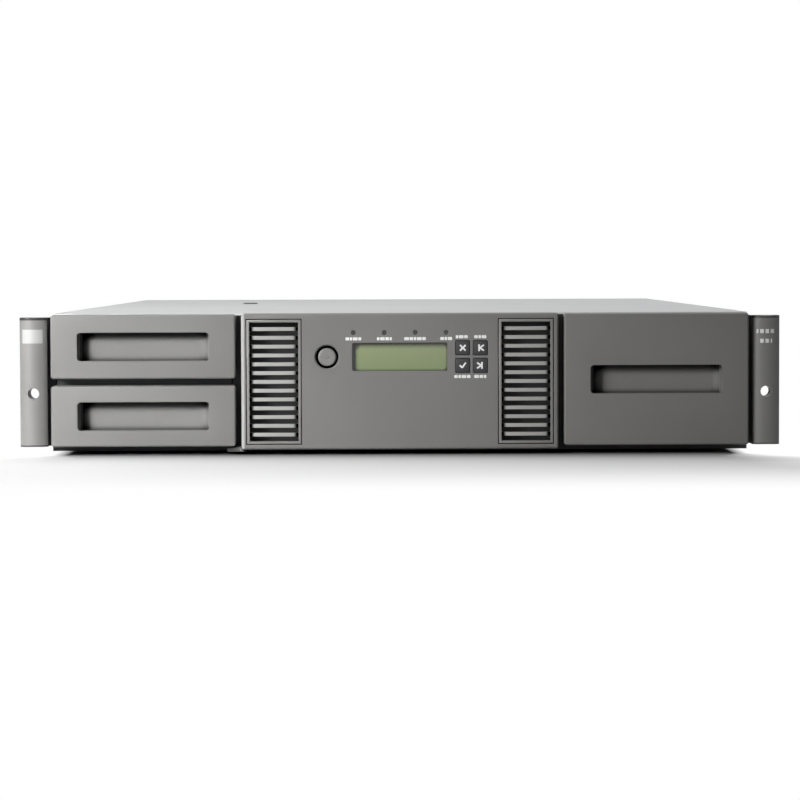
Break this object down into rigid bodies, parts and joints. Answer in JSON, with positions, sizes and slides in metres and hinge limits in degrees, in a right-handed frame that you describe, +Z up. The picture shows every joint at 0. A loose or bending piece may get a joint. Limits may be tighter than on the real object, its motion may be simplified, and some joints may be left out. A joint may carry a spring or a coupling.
{
  "type": "rack tape library",
  "caption": "Two-unit rack tape library with pull-out cartridge magazines, a mail slot, a travelling picker robot, a drive on a sled, and a front panel with display and keys.",
  "frame": {"origin": "middle of the footprint, on the surface that the feet stand on", "axes": "+X to the operator's right seen from the front, the front faces -Y, +Z up"},
  "size_m": [0.4826, 0.76, 0.0904],
  "materials": {
    "front_plastic": "satin",
    "ear_plastic": "satin",
    "vent_plastic": "satin",
    "key_plastic": "matte",
    "button_plastic": "satin",
    "display_glass": "gloss",
    "lamp_plastic": "gloss",
    "black_plastic": "matte",
    "cover_paint": "satin",
    "zinc_sheet": "satin",
    "black_sheet": "matte",
    "rubber_foot": "matte",
    "bright_metal": "satin",
    "spring_steel": "bright",
    "magazine_plastic": "matte",
    "robot_metal": "satin",
    "motor_metal": "satin",
    "gear_plastic": "satin",
    "drive_metal": "satin",
    "handle_plastic": "satin",
    "thumbscrew_metal": "anodised",
    "circuit_board": "satin"
  },
  "bodies": {
    "chassis": {"chassis_tray": "zinc_sheet", "top_cover": "cover_paint", "cover_plug": "black_plastic", "cover_screws": "bright_metal", "rear_panel": "zinc_sheet", "front_frame": "black_sheet", "feet": "rubber_foot", "left_rack_ear": "black_sheet", "right_rack_ear": "black_sheet", "left_ear_cover": "ear_plastic", "right_ear_cover": "ear_plastic", "control_panel": "front_plastic", "left_vent_grille": "vent_plastic", "right_vent_grille": "vent_plastic", "lcd_glass": "display_glass", "lcd_module": "bright_metal", "status_lamps": "lamp_plastic", "panel_board": "circuit_board", "magazine_rails": "zinc_sheet", "robot_guide_rails": "zinc_sheet", "robot_rack": "gear_plastic", "drive_bay": "zinc_sheet", "power_supply": "zinc_sheet", "power_inlet": "black_plastic", "controller_board": "circuit_board", "io_ports": "bright_metal", "fan_housing": "black_plastic", "fan_guard": "bright_metal"},
    "left_magazine": {"left_magazine_case": "magazine_plastic", "left_magazine_dividers": "magazine_plastic", "left_magazine_shelves": "magazine_plastic", "left_magazine_springs": "spring_steel", "left_magazine_bezel": "front_plastic"},
    "mail_slot": {"mail_slot_tray": "magazine_plastic", "mail_slot_bezel": "front_plastic"},
    "right_magazine": {"right_magazine_case": "magazine_plastic", "right_magazine_dividers": "magazine_plastic", "right_magazine_shelves": "magazine_plastic", "right_magazine_springs": "spring_steel", "right_magazine_bezel": "front_plastic"},
    "power_button": {"power_button": "button_plastic"},
    "cancel_key": {"cancel_key": "key_plastic"},
    "previous_key": {"previous_key": "key_plastic"},
    "next_key": {"next_key": "key_plastic"},
    "enter_key": {"enter_key": "key_plastic"},
    "robot_carriage": {"robot_carriage": "robot_metal", "carriage_yoke": "robot_metal", "robot_motors": "motor_metal"},
    "travel_pinion": {"travel_pinion": "gear_plastic"},
    "lift_screw": {"lift_screw": "bright_metal"},
    "lift_frame": {"lift_frame": "robot_metal"},
    "picker": {"picker_frame": "robot_metal", "turntable_plate": "bright_metal", "barcode_reader": "black_plastic"},
    "gripper": {"gripper": "bright_metal"},
    "drive_sled": {"drive_case": "drive_metal", "drive_sled": "zinc_sheet", "sled_handle": "handle_plastic", "sled_thumbscrews": "thumbscrew_metal"},
    "fan_rotor": {"fan_rotor": "black_plastic"}
  },
  "joints": [
    {"name": "left_magazine_slide", "type": "slide", "parent": "chassis", "child": "left_magazine", "axis": [0, -1, 0], "range_m": [0, 0.45]},
    {"name": "mail_slot_slide", "type": "slide", "parent": "left_magazine", "child": "mail_slot", "axis": [0, -1, 0], "range_m": [0, 0.125]},
    {"name": "right_magazine_slide", "type": "slide", "parent": "chassis", "child": "right_magazine", "axis": [0, -1, 0], "range_m": [0, 0.45]},
    {"name": "power_button_press", "type": "slide", "parent": "chassis", "child": "power_button", "axis": [0, 1, 0], "range_m": [0, 0.0015], "stiffness_N_per_m": 400, "springref_m": -0.0005},
    {"name": "cancel_key_press", "type": "slide", "parent": "chassis", "child": "cancel_key", "axis": [0, 1, 0], "range_m": [0, 0.0008], "stiffness_N_per_m": 500, "springref_m": -0.0004},
    {"name": "previous_key_press", "type": "slide", "parent": "chassis", "child": "previous_key", "axis": [0, 1, 0], "range_m": [0, 0.0008], "stiffness_N_per_m": 500, "springref_m": -0.0004},
    {"name": "next_key_press", "type": "slide", "parent": "chassis", "child": "next_key", "axis": [0, 1, 0], "range_m": [0, 0.0008], "stiffness_N_per_m": 500, "springref_m": -0.0004},
    {"name": "enter_key_press", "type": "slide", "parent": "chassis", "child": "enter_key", "axis": [0, 1, 0], "range_m": [0, 0.0008], "stiffness_N_per_m": 500, "springref_m": -0.0004},
    {"name": "robot_travel", "type": "slide", "parent": "chassis", "child": "robot_carriage", "axis": [0, 1, 0], "range_m": [0, 0.3198]},
    {"name": "travel_pinion_spin", "type": "hinge", "parent": "robot_carriage", "child": "travel_pinion", "pos_m": [0.0872, -0.3422, 0.008], "axis": [0, 0, 1], "range_deg": [-2040.9, 5]},
    {"name": "lift", "type": "slide", "parent": "robot_carriage", "child": "lift_frame", "axis": [0, 0, 1], "range_m": [0, 0.0492]},
    {"name": "lift_screw_spin", "type": "hinge", "parent": "robot_carriage", "child": "lift_screw", "pos_m": [-0.069, -0.1962, 0.02], "axis": [0, 0, 1], "range_deg": [-5, 2957]},
    {"name": "picker_turn", "type": "hinge", "parent": "lift_frame", "child": "picker", "pos_m": [0, -0.2662, 0.035], "axis": [0, 0, 1], "range_deg": [-90, 90]},
    {"name": "gripper_reach", "type": "slide", "parent": "picker", "child": "gripper", "axis": [0, 1, 0], "range_m": [0, 0.095]},
    {"name": "drive_sled_slide", "type": "slide", "parent": "chassis", "child": "drive_sled", "axis": [0, 1, 0], "range_m": [0, 0.225]},
    {"name": "fan_spin", "type": "hinge", "parent": "chassis", "child": "fan_rotor", "pos_m": [0.1808, 0.3428, 0.056], "axis": [0, 1, 0], "continuous": true}
  ],
  "couplings": [
    {"joint": "travel_pinion_spin", "follows": "robot_travel", "rad_per_m": -111.11},
    {"joint": "lift_screw_spin", "follows": "lift", "rad_per_m": 1047.2}
  ]
}
